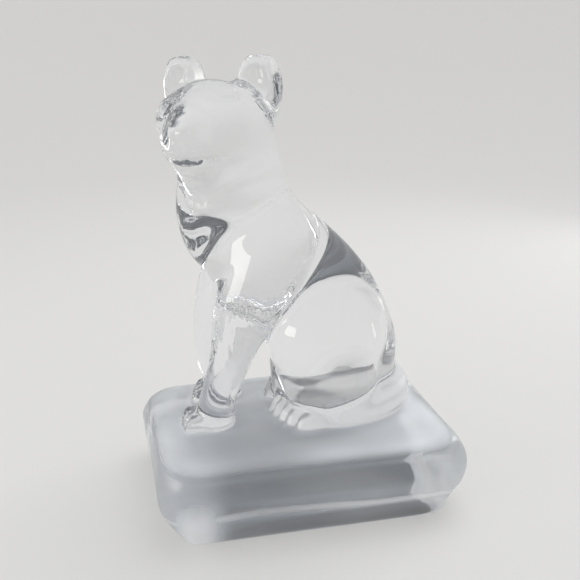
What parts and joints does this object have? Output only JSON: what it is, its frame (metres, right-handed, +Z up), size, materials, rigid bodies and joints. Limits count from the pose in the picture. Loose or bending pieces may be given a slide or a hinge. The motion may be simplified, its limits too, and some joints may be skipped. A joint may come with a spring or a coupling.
{
  "type": "crystal glass figurine",
  "caption": "Clear crystal figurine of a seated big cat, head turned to its left, tail curled round one haunch, on a soft-cornered slab of the same glass.",
  "frame": {"origin": "centre of the base block's flat underside, where it rests", "axes": "+Z up; the cat's body faces -X with its left side towards -Y, and its head turns towards -Y"},
  "size_m": [0.138, 0.082, 0.18],
  "materials": {
    "clear_crystal": "fire-polished, optically clear with a faint cool cast"
  },
  "bodies": {
    "root": {"base_block": "clear_crystal", "torso": "clear_crystal", "head": "clear_crystal", "left_ear": "clear_crystal", "right_ear": "clear_crystal", "left_foreleg": "clear_crystal", "right_foreleg": "clear_crystal", "left_haunch": "clear_crystal", "right_haunch": "clear_crystal", "left_hind_paw": "clear_crystal", "right_hind_paw": "clear_crystal", "tail": "clear_crystal"}
  },
  "joints": []
}
